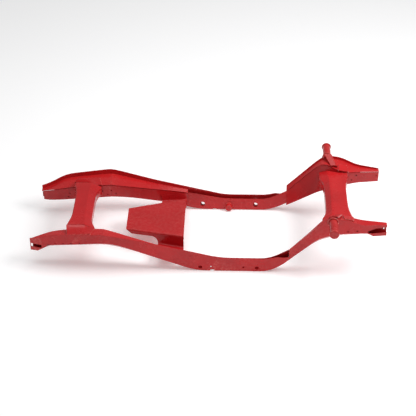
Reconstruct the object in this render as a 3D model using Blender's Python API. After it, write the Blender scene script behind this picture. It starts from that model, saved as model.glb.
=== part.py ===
"""A bare welded ladder frame for a small four-wheel chassis, as an assembly of its pressings.

X runs along the frame with the high arms at +X, Y runs across it and Z is up.
The origin is the middle of the underside of the low side rails. Sizes are in millimetres.
"""

import math

import bmesh
import bpy
from mathutils import Matrix

MM = 0.001
SHEET = 4.0  # every pressing is cut from this sheet
GAP = 0.3  # left between pressings that are welded face to face
LEAN_ROOM = 3.4  # lowers a leaning web so that its square-cut edge clears the plate on it
SEAT = 1.0  # clearance over a top plate, whose facets rise a little above its true line
WEB_ROOM = 3.2  # clearance from the end of a crossmember to the inner web, filled by the weld
STRAIGHT = math.radians(89)  # half the angle at a corner that needs no rounding
GRID_STEP = 40  # spacing of the cross-sections along a rail

# Stations along the frame
TAIL = -1211.0
FOLD = -707.0
TAPER_END = -156.0
STEP = 561.0
NOSE = 1211.0

SIDES = ((-1, "right"), (1, "left"))

# Stub tubes on the outer plates, with their collars and gussets
STUB_X = 844.0
STUB_Z = 430.0
STUB_RADIUS = 28.5
STUB_WALL = 5.0
STUB_ROOT_Y = 394.0
STUB_END_Y = 537.0
CAP_RADIUS = 31.5
CAP_THICKNESS = 9.0
COLLAR_RADIUS = 38.0
COLLAR_WIDTH = 8.0
GUSSET_IN = (888.0, 300.0, 427.0)  # inner end of the gusset's ridge
GUSSET_OUT_Y = 386.0
GUSSET_OUT_Z = 468.0

# Crossmembers: half length of the straight pressing, and heights at left edge, crease, right edge, foot
REAR_REACH = 240.0
REAR_HEIGHTS = (278.0, 278.0, 245.0, 186.0)
FRONT_REACH = 245.0
FRONT_HEIGHTS = (352.0, 380.0, 380.0, 292.0)

# Tunnel plate across the low rails
TUNNEL_START = -568.0
TUNNEL_END = -162.0
TUNNEL_DEEP = -343.0  # where its side walls reach down to the feet
TUNNEL_HEM = 34.0
TUNNEL_FOOT_Z = 82.0
TUNNEL_HALF = (128.0, 231.0)
TUNNEL_TOP = (154.0, 173.0)

BOSS_X = 144.0
BOSS_Z = 29.0
BOSS_RADIUS = 26.0
BOSS_FACE_Y = 316.0

# Lines along one rail: (x, value, blend). Straight runs meet in a parabola that is
# blend long on each side of the corner.
OUTER_Y = [(TAIL, 325, 0), (-1030, 376, 60), (FOLD, 410, 80), (-400, 388, 80), (640, 390, 60),
           (850, 393, 80), (1000, 386, 50), (NOSE, 350, 0)]
OUTER_TOP = [(TAIL, 205, 0), (-1150, 220, 30), (-1036, 273, 50), (FOLD, 301, 2), (110, 105, 45),
             (425, 105, 40), (480, 124, 20), (512, 116, 16), (STEP, 124, 0)]
FRONT_TOP = [(STEP, 191, 0), (812, 449, 45), (930, 447, 50), (1045, 391, 40), (NOSE, 377, 0)]
OUTER_BOTTOM = [(TAIL, 108, 0), (-1135, 112, 8), (-1108, 162, 10), (-1036, 186, 20), (-690, 233, 60),
                (-590, 208, 50), (-413, 129, 60), (-75, 0, 70), (455, 0, 90), (750, 281, 30),
                (875, 326, 60), (960, 327, 30), (1075, 328, 6), (1108, 295, 8), (NOSE, 291, 0)]
INNER_TOP_Y = [(TAIL, 290, 0), (-1090, 263, 40), (-950, 260, 60), (-700, 270, 80), (-270, 347, 80),
               (-130, 357, 60), (500, 356, 50), (680, 350, 50), (800, 332, 40), (900, 286, 40),
               (985, 277, 30), (1050, 296, 30), (NOSE, 312, 0)]
INNER_BOTTOM_Y = [(TAIL, 292, 0), (-1090, 270, 40), (-833, 278, 60), (-700, 282, 80), (-270, 337, 80),
                  (-80, 339, 60), (500, 339, 60), (750, 281, 50), (900, 288, 60), (1050, 310, 50),
                  (NOSE, 330, 0)]
INNER_TOP = [(TAIL, 180, 0), (-1036, 230, 60), (-833, 249, 60), (FOLD, 254, 2), (-290, 162, 60),
             (110, 88, 60), (430, 88, 60), (STEP, 165, 0)]
FRONT_INNER_TOP = [(STEP, 165, 0), (812, 438, 45), (900, 400, 50), (990, 381, 40), (NOSE, 373, 0)]
INNER_BOTTOM = [(TAIL, 96, 0), (-1090, 102, 40), (-700, 131, 60), (-560, 110, 60), (-190, 24, 40),
                (-75, 0, 50), (445, 0, 60), (560, 52, 40), (760, 192, 40), (900, 245, 50), (1050, 273, 40),
                (NOSE, 275, 0)]
LIP = [(TAIL, 24, 0), (-900, 32, 60), (FOLD, 37, 60), (TAPER_END, 20, 0)]  # edge proud of the top plate
FRONT_LIP = [(STEP, 8, 0), (800, 14, 40), (950, 20, 40), (NOSE, 8, 0)]

# Holes through one rail: (x, z, radius)
WEB_HOLES = [(-48, 44, 17), (338, 41, 17)]
LOW_HOLES = [(-44, 28, 14), (29, 34, 6), (252, 32, 7), (344, 28, 14)]
ARCH_HOLES = [(-1005, 177, 5), (-1016, 143, 5), (-790, 161, 5), (-768, 193, 5), (-732, 162, 5),
              (-705, 197, 5), (-673, 168, 5)]
ARM_HOLES = [(984, 331, 6), (1018, 305, 6), (1050, 345, 6)]
OUTER_ARM_HOLES = [(948, 344, 6), (1010, 347, 6)]

# The pressed panel of the kick-up: shares of the web's height at its edges, and its depth
SWAGE_SHARES = (0.70, 0.66, 0.14, 0.10)
SWAGE_DEPTH = 5.0

RED = (0.62, 0.02, 0.025)


def clear_scene():
    for obj in list(bpy.data.objects):
        bpy.data.objects.remove(obj, do_unlink=True)


def paint(name, colour, roughness=0.25, metallic=0.0):
    material = bpy.data.materials.new(name + "_paint")
    material.use_nodes = True
    shader = material.node_tree.nodes["Principled BSDF"]
    shader.inputs["Base Color"].default_value = (*colour, 1.0)
    shader.inputs["Roughness"].default_value = roughness
    shader.inputs["Metallic"].default_value = metallic
    return material


def line_at(corners, x):
    """The value at x of a line through corners, rounded at each corner by its blend."""
    for (x0, v0, _), (x1, v1, b1), (x2, v2, _) in zip(corners, corners[1:], corners[2:]):
        if abs(x - x1) < b1:
            before = (v1 - v0) / (x1 - x0)
            after = (v2 - v1) / (x2 - x1)
            return v1 + before * (x - x1) + (after - before) * (x - x1 + b1) ** 2 / (4 * b1)
    for (x0, v0, _), (x1, v1, _) in zip(corners, corners[1:]):
        if x <= x1:
            break
    return v0 + (v1 - v0) * (x - x0) / (x1 - x0)


def stations(start, end):
    """The shared cross-section positions from start to end, which keep neighbours parallel."""
    inside = range(int(-1200), int(NOSE), GRID_STEP)
    return [start] + [x for x in inside if start + 4 < x < end - 4] + [end]


def solid(name, vertices, faces, smooth_angle=30.0, colour=RED):
    """One closed mesh object in metres, with its faces turned outwards."""
    mesh = bpy.data.meshes.new(name)
    mesh.from_pydata([[c * MM for c in v] for v in vertices], [], faces)
    work = bmesh.new()
    work.from_mesh(mesh)
    bmesh.ops.recalc_face_normals(work, faces=work.faces)
    if work.calc_volume(signed=True) < 0:
        bmesh.ops.reverse_faces(work, faces=work.faces)
    work.to_mesh(mesh)
    work.free()
    mesh.shade_smooth()
    mesh.set_sharp_from_angle(angle=math.radians(smooth_angle))
    obj = bpy.data.objects.new(name, mesh)
    obj.data.materials.append(paint(name, colour))
    bpy.context.scene.collection.objects.link(obj)
    return obj


def loft(name, loops, strip=False, **look):
    """A solid through matching closed loops of points, capped at both ends.

    The loops of a strip run out along one face and back along the other, so each cap is a row of quads.
    """
    count = len(loops[0])
    vertices = [point for loop in loops for point in loop]
    last = len(vertices) - count
    faces = []
    if strip:
        for i in range(count // 2 - 1):
            quad = (i, i + 1, count - 2 - i, count - 1 - i)
            faces += [quad, tuple(last + corner for corner in reversed(quad))]
    else:
        faces += [tuple(range(count)), tuple(reversed(range(last, last + count)))]
    for row in range(len(loops) - 1):
        for i in range(count):
            j = (i + 1) % count
            low, high = row * count, (row + 1) * count
            faces.append((low + i, low + j, high + j, high + i))
    return solid(name, vertices, faces, **look)


def rounded(path, radius, steps=3):
    """An open 2-D path with each inside corner replaced by an arc."""
    points = [path[0]]
    for before, corner, after in zip(path, path[1:], path[2:]):
        a = (before[0] - corner[0], before[1] - corner[1])
        b = (after[0] - corner[0], after[1] - corner[1])
        la, lb = math.hypot(*a), math.hypot(*b)
        ua, ub = (a[0] / la, a[1] / la), (b[0] / lb, b[1] / lb)
        half = math.acos(max(-1.0, min(1.0, ua[0] * ub[0] + ua[1] * ub[1]))) / 2
        if half > STRAIGHT:
            cut = 0.3 * min(la, lb)
            for i in range(steps + 1):
                shift = cut * (1 - 2 * i / steps)
                toward = ua if shift > 0 else ub
                points.append((corner[0] + toward[0] * abs(shift), corner[1] + toward[1] * abs(shift)))
            continue
        cut = min(radius / math.tan(half), 0.45 * la, 0.45 * lb)
        size = cut * math.tan(half)
        middle = (ua[0] + ub[0], ua[1] + ub[1])
        lm = math.hypot(*middle)
        reach = size / math.sin(half)
        centre = (corner[0] + middle[0] / lm * reach, corner[1] + middle[1] / lm * reach)
        start = math.atan2(corner[1] + ua[1] * cut - centre[1], corner[0] + ua[0] * cut - centre[0])
        end = math.atan2(corner[1] + ub[1] * cut - centre[1], corner[0] + ub[0] * cut - centre[0])
        turn = (end - start + math.pi) % (2 * math.pi) - math.pi
        for i in range(steps + 1):
            angle = start + turn * i / steps
            points.append((centre[0] + size * math.cos(angle), centre[1] + size * math.sin(angle)))
    return points + [path[-1]]


def thick(path, thickness, side=0.0):
    """The closed outline of a sheet along an open 2-D path. side shifts it by half its thickness."""
    left, right = [], []
    for i, point in enumerate(path):
        before = path[max(i - 1, 0)]
        after = path[min(i + 1, len(path) - 1)]
        directions = []
        for p, q in ((before, point), (point, after)):
            size = math.hypot(q[0] - p[0], q[1] - p[1])
            if size > 1e-9:
                directions.append(((q[0] - p[0]) / size, (q[1] - p[1]) / size))
        dx = sum(d[0] for d in directions)
        dy = sum(d[1] for d in directions)
        size = math.hypot(dx, dy)
        normal = (-dy / size, dx / size)
        reach = 1.0 / (normal[0] * -directions[0][1] + normal[1] * directions[0][0])
        for outline, offset in ((left, side + 0.5), (right, side - 0.5)):
            shift = offset * thickness * reach
            outline.append((point[0] + normal[0] * shift, point[1] + normal[1] * shift))
    return left + right[::-1]


def cutter(name, vertices, faces):
    obj = solid(name, vertices, faces)
    obj.hide_render = True
    obj.display_type = "WIRE"
    return obj


def round_cutter(name, centre, direction, radius, length, sides=16):
    """A cylinder to cut a hole: direction is an axis letter."""
    work = bmesh.new()
    turn = {"X": Matrix.Rotation(math.pi / 2, 4, "Y"), "Y": Matrix.Rotation(math.pi / 2, 4, "X"),
            "Z": Matrix.Identity(4)}[direction]
    place = Matrix.Translation([c * MM for c in centre]) @ turn
    bmesh.ops.create_cone(work, cap_ends=True, segments=sides, radius1=radius * MM, radius2=radius * MM,
                          depth=length * MM, matrix=place)
    mesh = bpy.data.meshes.new(name)
    work.to_mesh(mesh)
    work.free()
    obj = bpy.data.objects.new(name, mesh)
    bpy.context.scene.collection.objects.link(obj)
    obj.hide_render = True
    obj.display_type = "WIRE"
    return obj


def box_cutter(name, low, high):
    corners = [(x, y, z) for x in (low[0], high[0]) for y in (low[1], high[1]) for z in (low[2], high[2])]
    faces = [(0, 1, 3, 2), (4, 6, 7, 5), (0, 4, 5, 1), (2, 3, 7, 6), (0, 2, 6, 4), (1, 5, 7, 3)]
    return cutter(name, corners, faces)


def cut(obj, tools):
    """Cuts each tool out of obj, in turn."""
    for tool in tools:
        modifier = obj.modifiers.new(tool.name, "BOOLEAN")
        modifier.operation = "DIFFERENCE"
        modifier.solver = "EXACT"
        modifier.object = tool
    return obj


def inner_top(x):
    """The height of the inner web's top edge, or of the top plate's inner edge where there is one."""
    return line_at(INNER_TOP if x < STEP else FRONT_INNER_TOP, x)


def on_grid(value, x):
    """value(x) taken straight between the stations on each side of x, as the pressings are."""
    low = math.floor(x / GRID_STEP) * GRID_STEP
    share = (x - low) / GRID_STEP
    return value(low) * (1 - share) + value(low + GRID_STEP) * share


def web_y(x, z):
    """How far from the middle the inner web's face is at (x, z)."""
    def face(at):
        low, high = line_at(INNER_BOTTOM, at), inner_top(at)
        share = min(1.0, (z - low) / (high - low))
        return line_at(INNER_BOTTOM_Y, at) * (1 - share) + line_at(INNER_TOP_Y, at) * share
    return on_grid(face, x)


def plate_z(x, y):
    """The height of a rail's top plate under a part that stands on it at (x, |y|)."""
    return on_grid(lambda at: top_plate_z(at, y), x)


def top_plate_z(x, y):
    """The height of a rail's top plate at (x, |y|) of a cross-section."""
    outer_y = line_at(OUTER_Y, x) - SHEET - GAP
    inner_y = line_at(INNER_TOP_Y, x)
    inner_z = inner_top(x)
    if x < STEP:
        outer_z = line_at(OUTER_TOP, x) - line_at(LIP, x)
    else:
        outer_z = line_at(FRONT_TOP, x) - line_at(FRONT_LIP, x)
    share = (y - inner_y) / (outer_y - inner_y)
    return inner_z + (outer_z - inner_z) * share


def section(x, side, outline):
    return [(x, side * y, z) for y, z in outline]


def drill(name, holes, side, y, reach, sides=10):
    """Round cutters across one rail for holes given as (x, z, radius)."""
    tools = []
    for i, (x, z, radius) in enumerate(holes):
        tools.append(round_cutter(f"{name}_{i}", (x, side * y, z), "Y", radius, reach, sides))
    return tools


def outer_plate_rear(side, tag):
    loops = []
    for x in stations(TAIL, STEP - GAP):
        y, top, bottom = line_at(OUTER_Y, x), line_at(OUTER_TOP, x), line_at(OUTER_BOTTOM, x)
        loops.append(section(x, side, [(y, bottom), (y, top), (y - SHEET, top), (y - SHEET, bottom)]))
    obj = loft(f"outer_plate_rear_{tag}", loops)
    window = box_cutter(f"cut_window_{tag}", (-1206, side * 335 - 40, 139), (-1130, side * 335 + 40, 165))
    moon = round_cutter(f"cut_moon_{tag}", (-1068, side * 356, 157), "Y", 27, 60, 20)
    edge_holes = [(x, line_at(OUTER_BOTTOM, x) + 9, 5) for x in (-1030, -975, -920, -862)]
    tools = drill(f"cut_edge_{tag}", edge_holes, side, 385, 60)
    tools += drill(f"cut_low_{tag}", LOW_HOLES, side, 388, 20, 16)
    return cut(obj, [window, moon, low_notch(f"cut_notch_outer_{tag}", side, 388)] + tools)


def low_notch(name, side, y):
    """A drain notch in the bottom edge of the low section."""
    return box_cutter(name, (26, side * y - 30, -10), (54, side * y + 30, 9))


def outer_plate_front(side, tag):
    loops = []
    for x in stations(STEP, NOSE):
        y, top, bottom = line_at(OUTER_Y, x), line_at(FRONT_TOP, x), line_at(OUTER_BOTTOM, x)
        loops.append(section(x, side, [(y, bottom), (y, top), (y - SHEET, top), (y - SHEET, bottom)]))
    obj = loft(f"outer_plate_front_{tag}", loops)
    corners = [(1078, 335), (1098, 318), (1240, 318), (1240, 362), (1130, 356)]
    outline = [(x, side * 300, z) for x, z in corners] + [(x, side * 420, z) for x, z in corners]
    faces = [(0, 1, 2, 3, 4), (9, 8, 7, 6, 5)]
    faces += [(i, (i + 1) % 5, (i + 1) % 5 + 5, i + 5) for i in range(5)]
    mouth = cutter(f"cut_mouth_{tag}", outline, faces)
    return cut(obj, [mouth] + drill(f"cut_arm_{tag}", OUTER_ARM_HOLES, side, 388, 40))


def swage(x, share):
    """How far the kick-up's web is pressed in at a share of its height, away from the open side."""
    along = min(1.0, max(0.0, (x - 596) / 34)) * min(1.0, max(0.0, (796 - x) / 16))
    return SWAGE_DEPTH * along if SWAGE_SHARES[1] < share < SWAGE_SHARES[2] else 0.0


def inner_channel(name, side, start, end, closed_top, tools=(), swaged=False):
    """The inner web with its bottom flange. Under a top plate the web stops below it."""
    loops = []
    extra = [603, 611, 619, 628, 780, 788, 796] if swaged else []
    for x in sorted(set(stations(start, end) + extra)):
        top_y, bottom_y = line_at(INNER_TOP_Y, x), line_at(INNER_BOTTOM_Y, x)
        top = inner_top(x) if x >= STEP or not swaged else line_at(FRONT_INNER_TOP, x)
        top -= SHEET + GAP + LEAN_ROOM if closed_top else 0
        bottom = line_at(INNER_BOTTOM, x)
        outer_y = line_at(OUTER_Y, x) - SHEET - GAP
        outer_z = line_at(OUTER_BOTTOM, x)
        path = [(top_y, top)]
        for share in SWAGE_SHARES if swaged else ():
            depth = swage(x, share)
            path.append((bottom_y + (top_y - bottom_y) * share + depth, bottom + (top - bottom) * share))
        path += [(bottom_y, bottom), (outer_y, outer_z)]
        loops.append(section(x, side, thick(rounded(path, 9), SHEET, 0.5)))
    return cut(loft(name, loops, strip=True, smooth_angle=40), tools)


def top_plate(name, side, start, end):
    """A flat cover welded between the outer plate and the inner web."""
    loops = []
    for x in stations(start, end):
        outer_y = line_at(OUTER_Y, x) - SHEET - GAP
        inner_y = line_at(INNER_TOP_Y, x)
        outer_z, inner_z = top_plate_z(x, outer_y), top_plate_z(x, inner_y)
        outline = [(inner_y, inner_z), (outer_y, outer_z), (outer_y, outer_z - SHEET), (inner_y, inner_z - SHEET)]
        loops.append(section(x, side, outline))
    return loft(name, loops)


def build_rail(side, tag):
    outer_plate_rear(side, tag)
    outer_plate_front(side, tag)
    arch = drill(f"cut_arch_{tag}", ARCH_HOLES, side, 275, 60)
    inner_channel(f"inner_channel_rear_{tag}", side, TAIL + 12, TAPER_END - GAP, True, arch)
    low = drill(f"cut_web_{tag}", WEB_HOLES, side, 352, 44, 16)
    low.append(low_notch(f"cut_notch_inner_{tag}", side, 358))
    inner_channel(f"inner_channel_mid_{tag}", side, TAPER_END, STEP - GAP, False, low)
    arm = drill(f"cut_inner_arm_{tag}", ARM_HOLES, side, 295, 60)
    arm.append(box_cutter(f"cut_arm_slot_{tag}", (1190, side * 318 - 25, 326), (1197, side * 318 + 25, 342)))
    inner_channel(f"inner_channel_front_{tag}", side, STEP, NOSE, True, arm, True)
    top_plate(f"horn_top_plate_{tag}", side, TAIL, FOLD - GAP)
    top_plate(f"taper_top_plate_{tag}", side, FOLD, TAPER_END - GAP)
    top_plate(f"arm_top_plate_{tag}", side, STEP, NOSE)
    build_boss(side, tag)


def build_boss(side, tag):
    """A round boss welded low on the inner web, whose back follows the web's lean."""
    loops = []
    for front, radius in ((0.0, BOSS_RADIUS), (0.8, BOSS_RADIUS), (1.0, BOSS_RADIUS - 3)):
        ring = []
        for x, z in circle(BOSS_X, BOSS_Z, radius, 20):
            back = web_y(x, z) - GAP - 0.2
            ring.append((x, side * (back + (BOSS_FACE_Y - back) * front), z))
        loops.append(ring)
    return loft(f"web_boss_{tag}", loops)


def circle(x, z, radius, sides=24):
    turns = [2 * math.pi * i / sides for i in range(sides)]
    return [(x + radius * math.cos(turn), z + radius * math.sin(turn)) for turn in turns]


def ring_solid(name, stations_y, x, z):
    """A solid turned about an axis along Y, through (y, radius) pairs that close on themselves if hollow."""
    rings = [[(px, y, pz) for px, pz in circle(x, z, radius)] for y, radius in stations_y]
    count = len(rings[0])
    vertices = [point for ring in rings for point in ring]
    faces = []
    for row in range(len(rings)):
        for i in range(count):
            j = (i + 1) % count
            low, high = row * count, (row + 1) % len(rings) * count
            faces.append((low + i, low + j, high + j, high + i))
    return solid(name, vertices, faces)


def build_stub(side, tag):
    """A stub tube with its end cap, the collar at its root and the gusset that braces it."""
    root, end = side * STUB_ROOT_Y, side * STUB_END_Y
    bore = STUB_RADIUS - STUB_WALL
    ring_solid(f"stub_tube_{tag}", [(root, STUB_RADIUS), (end, STUB_RADIUS), (end, bore), (root, bore)],
               STUB_X, STUB_Z)
    lip = side * CAP_THICKNESS
    cap = [(end + side * GAP, CAP_RADIUS - 2), (end + side * GAP + lip * 0.2, CAP_RADIUS),
           (end + side * GAP + lip * 0.8, CAP_RADIUS), (end + side * GAP + lip, CAP_RADIUS - 3)]
    loft(f"stub_cap_{tag}", [[(x, y, z) for x, z in circle(STUB_X, STUB_Z, r)] for y, r in cap])
    near, far = root + side * 0.4, root + side * COLLAR_WIDTH
    bore = STUB_RADIUS + GAP
    ring_solid(f"stub_collar_{tag}", [(near, COLLAR_RADIUS), (far - side * 2, COLLAR_RADIUS),
               (far, COLLAR_RADIUS - 3), (far, bore), (near, bore)], STUB_X, STUB_Z)
    build_gusset(side, tag)


def gusset_section(share):
    """Centre x, y, ridge z, half width and foot heights of the gusset at a share of its length."""
    x = STUB_X + (GUSSET_IN[0] - STUB_X) * share
    y = GUSSET_OUT_Y + (GUSSET_IN[1] - GUSSET_OUT_Y) * share
    z = GUSSET_OUT_Z + (GUSSET_IN[2] - GUSSET_OUT_Z) * share
    half = 33 - 10 * share
    feet = [min(z - 9, plate_z(x + k * half, y) + 3 * SEAT) for k in (-1, 1)]
    return x, y, z, half, feet


def build_gusset(side, tag):
    """An arched channel from over the tube's root down to the end of the front crossmember."""
    loops = []
    for i in range(9):
        x, y, z, half, feet = gusset_section(i / 8)
        path = [(x - half, feet[0]), (x - half, z), (x + half, z), (x + half, feet[1])]
        outline = thick(rounded(path, 26 - 16 * i / 8, 4), SHEET, -0.5)
        loops.append([(px, side * y, pz) for px, pz in outline])
    obj = loft(f"stub_gusset_{tag}", loops, smooth_angle=40)
    corners = []
    for share in (0.14, 0.82):
        x, y, z, half, feet = gusset_section(share)
        low, high = feet[0] + 4, z - 3
        corners += [(x - half - 14, low), (x - half + 13, low), (x - half + 13, high), (x - half - 14, high)]
        corners[-4:] = [(px, side * y, pz) for px, pz in corners[-4:]]
    faces = [(0, 1, 2, 3), (7, 6, 5, 4)]
    faces += [(i, (i + 1) % 4, (i + 1) % 4 + 4, i + 4) for i in range(4)]
    return cut(obj, [cutter(f"cut_gusset_{tag}", corners, faces)])


def hat(x_left, x_crease, x_right, heights):
    """The outline of a hat pressing across the frame, its top sloping to one side of a crease."""
    left_z, crease_z, right_z, foot_z = heights
    path = [(x_left, foot_z), (x_left, left_z), (x_crease, crease_z), (x_right, right_z), (x_right, foot_z)]
    bends = rounded(path, 12, 3)
    left, crease, right = bends[:5], bends[5:9], bends[9:]
    return thick(left + between(left[-1], crease[0], 3) + crease + between(crease[-1], right[0], 6) + right,
                 SHEET, -0.5)


def between(start, end, parts):
    """The points that divide the line from start to end into equal parts."""
    return [tuple(a + (b - a) * i / parts for a, b in zip(start, end)) for i in range(1, parts)]


def crossmember(name, reach, lines, heights, end_y):
    """A hat pressing across the frame, and the strip that closes it below.

    lines gives its left edge, crease and right edge against the distance from the middle.
    Past reach it runs on until end_y(x, z), where the inner webs are.
    """
    loops, floor = [], []
    rows = [f * reach for f in (0, 0.3, 0.5, 0.62, 0.72, 0.8, 0.87, 0.94, 1)] + [reach + 1]
    for row in [-y for y in reversed(rows[1:])] + rows:
        side = -1 if row < 0 else 1
        y = min(abs(row), reach)
        left, crease, right = [line_at(line, y) for line in lines]
        last = abs(row) > reach
        outline = hat(left, crease, right, heights)
        loops.append([(x, side * (end_y(x, z) if last else y), z) for x, z in outline])
        a, b = left + SHEET + GAP, right - SHEET - GAP
        low = heights[3]
        bottom = [(a, low)] + between((a, low), (b, low), 8) + [(b, low)]
        strip = bottom + [(x, z + SHEET) for x, z in reversed(bottom)]
        floor.append([(x, side * (end_y(x, z) if last else y), z) for x, z in strip])
    loft(name, loops, strip=True, smooth_angle=40)
    loft(name + "_floor", floor, strip=True)


def shoe(name, side, x_start, x_end, y_start, y_end, top_z):
    """The flared end of a crossmember, stepping down on to a rail's top plate.

    x_start and x_end give its left and right edges where it begins and where it ends.
    top_z(share) gives its height above the frame's base at its start, from left to right.
    """
    rows, columns = 8, 6
    loops = []
    for i in range(rows + 1):
        share = i / rows
        y = y_start + (y_end - y_start) * share
        ease = min(1.0, share * 1.15) ** 0.8
        left = x_start[0] + (x_end[0] - x_start[0]) * share
        right = x_start[1] + (x_end[1] - x_start[1]) * share
        path = [(left, plate_z(left, y) + SEAT)]
        for k in range(columns + 1):
            x = left + (right - left) * k / columns
            rest = plate_z(x, y) + SEAT + 2 * SHEET
            path.append((x, max(rest, top_z(k / columns) + (rest - top_z(k / columns)) * ease)))
        path.append((right, plate_z(right, y) + SEAT))
        loops.append([(x, side * y, z) for x, z in thick(path, SHEET, -0.5)])
    return loft(name, loops, strip=True, smooth_angle=50)


def build_rear_crossmember():
    lines = ([(0, -938, 0), (150, -939, 50), (REAR_REACH, -960, 0)],
             [(0, -848, 0), (160, -848, 50), (REAR_REACH, -841, 0)],
             [(0, -802, 0), (170, -802, 50), (REAR_REACH, -772, 0)])

    def end_y(x, z):
        return min(web_y(x, z) - WEB_ROOM, 257.5 + max(0.0, 226 - z) * 0.5)

    crossmember("rear_crossmember", REAR_REACH, lines, REAR_HEIGHTS, end_y)
    for side, tag in SIDES:
        shoe(f"rear_shoe_{tag}", side, (-964, -770), (-950, -792), 260.0, 346.0,
             lambda share: REAR_HEIGHTS[1] - 34 * max(0.0, share - 0.62) / 0.38)


def build_front_crossmember():
    lines = ([(0, 814, 0), (180, 812, 50), (FRONT_REACH, 783, 0)],
             [(0, 850, 0), (200, 850, 40), (FRONT_REACH, 842, 0)],
             [(0, 963, 0), (150, 964, 60), (FRONT_REACH, 984, 0)])

    def end_y(x, z):
        return web_y(x, z) - WEB_ROOM

    crossmember("front_crossmember", FRONT_REACH, lines, FRONT_HEIGHTS, end_y)
    for side, tag in SIDES:
        shoe(f"front_shoe_{tag}", side, (918, 988), (922, 986), 276.0, 334.0, lambda share: 384)


def build_tunnel():
    """The folded plate across the low rails: level top, side walls, outward feet and upturned edges."""
    loops = []
    for x in (TUNNEL_START, -500, -450, -400, -370, TUNNEL_DEEP, -300, -250, -210, TUNNEL_END):
        share = (x - TUNNEL_START) / (TUNNEL_END - TUNNEL_START)
        half = TUNNEL_HALF[0] + (TUNNEL_HALF[1] - TUNNEL_HALF[0]) * share
        top = TUNNEL_TOP[0] + (TUNNEL_TOP[1] - TUNNEL_TOP[0]) * share
        edge_z = 134 - 10 * (1 - share)
        foot, edge = [web_y(x, z) - SHEET - 1.5 for z in (TUNNEL_FOOT_Z, edge_z)]
        right = [(edge, edge_z), (foot, TUNNEL_FOOT_Z), (half + 6, TUNNEL_FOOT_Z), (half, top)]
        path = right + [(-y, z) for y, z in reversed(right)]
        loops.append([(x, y, z) for y, z in thick(rounded(path, 12), SHEET, 0.5)])
    obj = loft("tunnel_plate", loops, smooth_angle=40)
    hem = TUNNEL_TOP[0] - TUNNEL_HEM
    outline = [(TUNNEL_START - 20, hem), (TUNNEL_DEEP - 42, hem + 9)]
    for i in range(1, 7):
        angle = math.pi / 2 * i / 6
        outline.append((TUNNEL_DEEP - 42 + 42 * math.sin(angle), hem + 9 - 48 * (1 - math.cos(angle))))
    outline += [(TUNNEL_DEEP, 40), (TUNNEL_START - 20, 40)]
    corner = [(TUNNEL_START - 20, hem - 1), (TUNNEL_START - 20, hem + 31), (TUNNEL_START - 1, hem + 31),
              (TUNNEL_START + 42, hem - 1)]
    tools = []
    for name, shape in (("cut_tunnel_side", outline), ("cut_tunnel_corner", corner)):
        count = len(shape)
        points = [(x, y, z) for y in (-420, 420) for x, z in shape]
        faces = [tuple(range(count)), tuple(reversed(range(count, 2 * count)))]
        faces += [(i, (i + 1) % count, (i + 1) % count + count, i + count) for i in range(count)]
        tools.append(cutter(name, points, faces))
    for side, tag in SIDES:
        low, high = sorted((side * (TUNNEL_HALF[1] + 14), side * 420))
        tools.append(box_cutter("cut_tunnel_edge_" + tag, (TUNNEL_START - 20, low, 40),
                                (TUNNEL_DEEP, high, TUNNEL_TOP[1])))
    return cut(obj, tools)


def main():
    clear_scene()
    for side, tag in SIDES:
        build_rail(side, tag)
        build_stub(side, tag)
    build_rear_crossmember()
    build_front_crossmember()
    build_tunnel()


main()
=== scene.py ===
"""Looks of the bare welded ladder frame: refined copies of its pressings, weld beads, red gloss paint."""

import math

import bmesh
import bpy
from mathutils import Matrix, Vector, noise


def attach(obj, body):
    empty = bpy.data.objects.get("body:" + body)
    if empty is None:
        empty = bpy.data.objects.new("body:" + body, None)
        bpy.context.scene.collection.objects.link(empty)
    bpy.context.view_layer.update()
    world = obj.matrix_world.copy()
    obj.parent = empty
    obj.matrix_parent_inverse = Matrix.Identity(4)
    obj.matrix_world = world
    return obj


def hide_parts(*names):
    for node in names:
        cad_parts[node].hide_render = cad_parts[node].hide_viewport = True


RIM = 0.0011  # rounding of the sheet edges, in metres
SAME_POINT = 2e-5  # corners closer than this are one corner, in metres
FLAT = math.radians(1.0)  # triangles that meet at less than this are one face
SHARP = math.radians(38)  # edges sharper than this are rounded

BEAD_STEP = 0.0025  # spacing of the rings along a weld bead, in metres
BEAD_SIDES = 8
SHOE_BEAD = 0.0035  # radii of the weld beads, in metres
COLLAR_BEAD = 0.0035
FINE_BEAD = 0.0025
COLLAR_INSET = 0.004  # how far inside the collar's rim its bead runs

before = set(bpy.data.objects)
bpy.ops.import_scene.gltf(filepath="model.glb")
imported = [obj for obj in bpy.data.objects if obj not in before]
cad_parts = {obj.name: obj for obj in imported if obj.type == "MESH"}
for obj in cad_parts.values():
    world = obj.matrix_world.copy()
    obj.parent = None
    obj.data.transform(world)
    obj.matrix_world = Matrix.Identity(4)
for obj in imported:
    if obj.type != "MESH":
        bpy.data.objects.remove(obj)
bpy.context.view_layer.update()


def link(obj):
    bpy.context.scene.collection.objects.link(obj)
    return obj


# ---------------------------------------------------------------- paint


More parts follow.
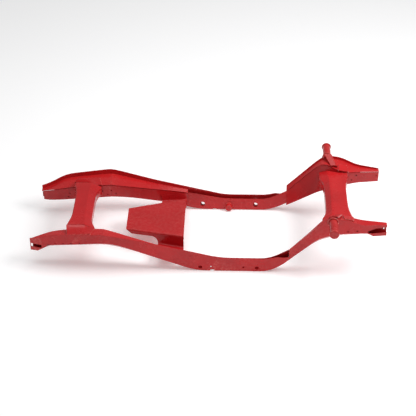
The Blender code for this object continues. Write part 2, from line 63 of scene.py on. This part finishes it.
def paint(name, base, deep, seed, coat=0.16, bump=0.03, rim_wear_and_highlight=0.16, weld=False):
    """Gloss enamel over pressed steel: tone drift, orange peel, dulled film, and pale rims that are partly
    thin paint wear and partly painted highlight.
    """
    material = bpy.data.materials.new(name)
    material.use_nodes = True
    tree = material.node_tree
    nodes, wires = tree.nodes, tree.links
    shader = nodes["Principled BSDF"]
    shader.inputs["Metallic"].default_value = 0.0
    shader.inputs["IOR"].default_value = 1.45
    shader.inputs["Specular IOR Level"].default_value = 0.3
    shader.inputs["Coat Weight"].default_value = coat
    shader.inputs["Coat Roughness"].default_value = 0.12
    place = nodes.new("ShaderNodeTexCoord")
    shift = nodes.new("ShaderNodeMapping")
    shift.inputs["Location"].default_value = (seed * 3.7, seed * 1.3, seed * 2.1)
    wires.new(place.outputs["Object"], shift.inputs["Vector"])

    def cloud(scale, detail, roughness=0.55):
        node = nodes.new("ShaderNodeTexNoise")
        node.inputs["Scale"].default_value = scale
        node.inputs["Detail"].default_value = detail
        node.inputs["Roughness"].default_value = roughness
        wires.new(shift.outputs["Vector"], node.inputs["Vector"])
        return node.outputs["Fac"]

    def spread(source, low, high, to_low, to_high):
        node = nodes.new("ShaderNodeMapRange")
        node.inputs["From Min"].default_value = low
        node.inputs["From Max"].default_value = high
        node.inputs["To Min"].default_value = to_low
        node.inputs["To Max"].default_value = to_high
        wires.new(source, node.inputs["Value"])
        return node.outputs["Result"]

    def blend(factor, first, second):
        node = nodes.new("ShaderNodeMix")
        node.data_type = "RGBA"
        wires.new(factor, node.inputs["Factor"])
        for socket, value in ((node.inputs["A"], first), (node.inputs["B"], second)):
            if isinstance(value, tuple):
                socket.default_value = (*value, 1.0)
            else:
                wires.new(value, socket)
        return node.outputs["Result"]

    drift = spread(cloud(3.2, 3), 0.35, 0.65, 0.0, 1.0)
    colour = blend(drift, base, deep)
    mottle = spread(cloud(46, 4, 0.6), 0.42, 0.62, 0.0, 0.05)
    colour = blend(mottle, colour, tuple(c * 0.72 for c in deep))
    geometry = nodes.new("ShaderNodeNewGeometry")
    # pale pink tint on sharp rims, found by pointiness and broken up by noise: a little paint wear and a
    # painted edge highlight
    rim = spread(geometry.outputs["Pointiness"], 0.53, 0.60, 0.0, rim_wear_and_highlight)
    broken = nodes.new("ShaderNodeMath")
    broken.operation = "MULTIPLY"
    wires.new(rim, broken.inputs[0])
    wires.new(spread(cloud(60, 3), 0.45, 0.6, 0.2, 1.0), broken.inputs[1])
    colour = blend(broken.outputs["Value"], colour, (0.86, 0.30, 0.26))
    wires.new(colour, shader.inputs["Base Color"])
    wires.new(spread(cloud(11, 4), 0.3, 0.7, 0.22, 0.30), shader.inputs["Roughness"])

    peel = nodes.new("ShaderNodeBump")
    peel.inputs["Strength"].default_value = bump
    peel.inputs["Distance"].default_value = 0.0006
    wires.new(cloud(420, 2), peel.inputs["Height"])
    wave = nodes.new("ShaderNodeBump")
    wave.inputs["Strength"].default_value = 0.22 if weld else 0.05
    wave.inputs["Distance"].default_value = 0.002
    wires.new(cloud(90 if weld else 9, 2), wave.inputs["Height"])
    wires.new(peel.outputs["Normal"], wave.inputs["Normal"])
    wires.new(wave.outputs["Normal"], shader.inputs["Normal"])
    return material


RED = (0.52, 0.008, 0.010)
DEEP = (0.40, 0.008, 0.010)
# copies of one red gloss paint whose tone follows how the light falls: the top plates' copy is lighter as
# painted light, the inner webs' copy darker as painted shade
PAINTS = {
    "outer": paint("paint_outer_plates", RED, DEEP, 1),
    "inner": paint("paint_inner_webs_painted_shade", (0.49, 0.011, 0.013), (0.37, 0.007, 0.009), 2),
    "top": paint("paint_top_plates_painted_light", (0.55, 0.014, 0.016), (0.44, 0.009, 0.012), 3),
    "cross": paint("paint_crossmembers", (0.53, 0.013, 0.016), (0.42, 0.009, 0.011), 4),
    "tunnel": paint("paint_tunnel_plate", (0.50, 0.010, 0.014), (0.41, 0.008, 0.010), 5),
    "stub": paint("paint_stub_tubes", (0.50, 0.012, 0.014), (0.38, 0.008, 0.010), 6),
    # weld beads: lighter base and the pale rim tint at full strength, a painted highlight on their ripples
    "weld": paint("paint_weld_beads", (0.56, 0.020, 0.018), (0.40, 0.010, 0.010), 7, bump=0.12, rim_wear_and_highlight=1.0,
                  weld=True),
}


def paint_of(node):
    for start, kind in (("outer_plate", "outer"), ("inner_channel", "inner"), ("web_boss", "inner"),
                        ("horn_top", "top"), ("taper_top", "top"), ("arm_top", "top"), ("rear_", "cross"),
                        ("front_", "cross"), ("tunnel", "tunnel"), ("stub_", "stub")):
        if node.startswith(start):
            return PAINTS[kind]
    raise ValueError(node)


# ---------------------------------------------------------------- pressings


def refine(node):
    """A copy of a CAD node with its triangles joined back into faces and its sheet edges rounded."""
    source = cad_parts[node]
    mesh = source.data.copy()
    work = bmesh.new()
    work.from_mesh(mesh)
    bmesh.ops.remove_doubles(work, verts=work.verts, dist=SAME_POINT)
    bmesh.ops.dissolve_limit(work, angle_limit=FLAT, verts=work.verts, edges=work.edges)
    for face in work.faces:
        face.smooth = True
    work.to_mesh(mesh)
    work.free()
    mesh.name = "look_" + node
    obj = link(bpy.data.objects.new("look_" + node, mesh))
    mesh.materials.clear()
    mesh.materials.append(paint_of(node))
    bevel = obj.modifiers.new("rim", "BEVEL")
    bevel.limit_method = "ANGLE"
    bevel.angle_limit = SHARP
    bevel.width = RIM
    bevel.segments = 2
    bevel.harden_normals = False
    bevel.use_clamp_overlap = True
    weighted = obj.modifiers.new("normals", "WEIGHTED_NORMAL")
    weighted.keep_sharp = False
    weighted.weight = 60
    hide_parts(node)
    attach(obj, "root")


for node_name in sorted(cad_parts):
    refine(node_name)

# ---------------------------------------------------------------- weld beads


def points_of(node):
    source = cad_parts[node]
    return [source.matrix_world @ vertex.co for vertex in source.data.vertices]


def resampled(path, step):
    """Points a step apart along a line of points."""
    out = [path[0]]
    for start, end in zip(path, path[1:]):
        count = max(1, round((end - start).length / step))
        out += [start.lerp(end, i / count) for i in range(1, count + 1)]
    return out


def bead(name, lines, radius):
    """Rippled weld beads along lines of points, with closed round ends."""
    mesh = bpy.data.meshes.new("bead_" + name)
    vertices, faces = [], []
    for line in lines:
        path = resampled(line, BEAD_STEP)
        first = len(vertices)
        for i, point in enumerate(path):
            along = path[min(i + 1, len(path) - 1)] - path[max(i - 1, 0)]
            turn = along.to_track_quat("Z", "Y")
            size = radius * (1 + 0.14 * math.cos(i * 2.1) + 0.25 * noise.noise(point * 40))
            size *= 0.35 if i in (0, len(path) - 1) else 1.0
            for k in range(BEAD_SIDES):
                angle = 2 * math.pi * k / BEAD_SIDES
                spoke = Vector((math.cos(angle), math.sin(angle), 0))
                vertices.append(point + turn @ (spoke * size))
        for i in range(len(path) - 1):
            for k in range(BEAD_SIDES):
                a = first + i * BEAD_SIDES + k
                b = first + i * BEAD_SIDES + (k + 1) % BEAD_SIDES
                faces.append((a, b, b + BEAD_SIDES, a + BEAD_SIDES))
        last = len(vertices) - BEAD_SIDES
        faces.append(tuple(reversed(range(first, first + BEAD_SIDES))))
        faces.append(tuple(range(last, last + BEAD_SIDES)))
    mesh.from_pydata([tuple(v) for v in vertices], [], faces)
    mesh.shade_smooth()
    mesh.materials.append(PAINTS["weld"])
    obj = link(bpy.data.objects.new("bead_" + name, mesh))
    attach(obj, "root")


def ring(centre, radius, count=40):
    """A circle about an axis that runs across the frame."""
    spokes = [2 * math.pi * i / count for i in range(count + 1)]
    return [centre + Vector((radius * math.cos(a), 0, radius * math.sin(a))) for a in spokes]


def shoe_lines(node):
    """The two side edges and the outer edge of a shoe, where it meets the rail."""
    rings = {}
    for point in points_of(node):
        rings.setdefault(round(point.y, 4), []).append(point)
    ends = sorted(rings, key=abs)
    left, right = [], []
    for y in ends:
        row = rings[y]
        if len(row) < 8:
            continue
        low_x, high_x = min(p.x for p in row), max(p.x for p in row)
        left.append(min((p for p in row if p.x < low_x + 0.001), key=lambda p: p.z))
        right.append(min((p for p in row if p.x > high_x - 0.001), key=lambda p: p.z))
    row = sorted(rings[ends[-1]], key=lambda p: p.x)
    outer = [left[-1]] + [p for p in row if left[-1].x + 0.01 < p.x < right[-1].x - 0.01][::2] + [right[-1]]
    down = Vector((0, 0, 0.003))
    return [left, right, [outer[0]] + [p - down for p in outer[1:-1]] + [outer[-1]]]


for tag in ("left", "right"):
    for end in ("rear", "front"):
        node = f"{end}_shoe_{tag}"
        bead(node, shoe_lines(node), SHOE_BEAD)
    for part, radius in (("stub_collar", COLLAR_BEAD), ("stub_cap", FINE_BEAD), ("web_boss", FINE_BEAD)):
        points = points_of(f"{part}_{tag}")
        low = Vector([min(p[i] for p in points) for i in range(3)])
        high = Vector([max(p[i] for p in points) for i in range(3)])
        middle = (low + high) / 2
        near = low.y if abs(low.y) < abs(high.y) else high.y
        far = low.y + high.y - near
        middle.y = {"stub_collar": far, "stub_cap": near, "web_boss": far}[part]
        reach = (high.x - low.x) / 2 - (COLLAR_INSET if part == "stub_collar" else 0)
        bead(f"{part}_{tag}", [ring(middle, reach)], radius)

# ---------------------------------------------------------------- stage, light and camera

CENTRE = Vector((0.0, 0.0, 0.251))
DISTANCE = 8.9
SENSOR = 36.0
LENS = 110.0
TILT = math.radians(35)
TURN = math.radians(1.5)

floor_mesh = bpy.data.meshes.new("floor")
floor_mesh.from_pydata([(-14, -14, 0), (14, -14, 0), (14, 14, 0), (-14, 14, 0)], [], [(0, 1, 2, 3)])
floor = link(bpy.data.objects.new("floor", floor_mesh))
floor.location.z = -0.0015
white = bpy.data.materials.new("floor_paint")
white.use_nodes = True
floor_shader = white.node_tree.nodes["Principled BSDF"]
floor_shader.inputs["Base Color"].default_value = (0.93, 0.93, 0.935, 1)
floor_shader.inputs["Emission Color"].default_value = (1.0, 1.0, 1.0, 1)
floor_shader.inputs["Emission Strength"].default_value = 0.22
floor_shader.inputs["Roughness"].default_value = 0.9
floor_mesh.materials.append(white)

bpy.context.scene.view_settings.view_transform = "Standard"
world = bpy.data.worlds.new("studio")
bpy.context.scene.world = world
world.use_nodes = True
world.node_tree.nodes["Background"].inputs["Color"].default_value = (1.0, 1.0, 1.0, 1)
world.node_tree.nodes["Background"].inputs["Strength"].default_value = 0.35


def lamp(name, place, aim, size, power):
    light = bpy.data.lights.new(name, "AREA")
    light.shape = "RECTANGLE"
    light.size, light.size_y = size
    light.energy = power
    obj = link(bpy.data.objects.new(name, light))
    obj.location = place
    obj.rotation_euler = (Vector(aim) - Vector(place)).to_track_quat("-Z", "Y").to_euler()


lamp("key_light", (3.6, -0.6, 4.2), (0.2, 0, 0.2), (2.6, 2.6), 190)
lamp("top_light", (-0.4, 0.6, 5.2), (0, 0, 0.2), (4.5, 2.5), 90)
lamp("front_light", (-1.2, -6.0, 2.2), (0, 0, 0.2), (4.0, 2.0), 16)

camera_data = bpy.data.cameras.new("camera")
camera_data.sensor_width = SENSOR
camera_data.lens = LENS
camera = link(bpy.data.objects.new("camera", camera_data))
back = Vector((math.cos(TILT) * math.sin(TURN), -math.cos(TILT) * math.cos(TURN), math.sin(TILT)))
camera.location = CENTRE + DISTANCE * back
camera.rotation_euler = (CENTRE - camera.location).to_track_quat("-Z", "Y").to_euler()
bpy.context.scene.camera = camera
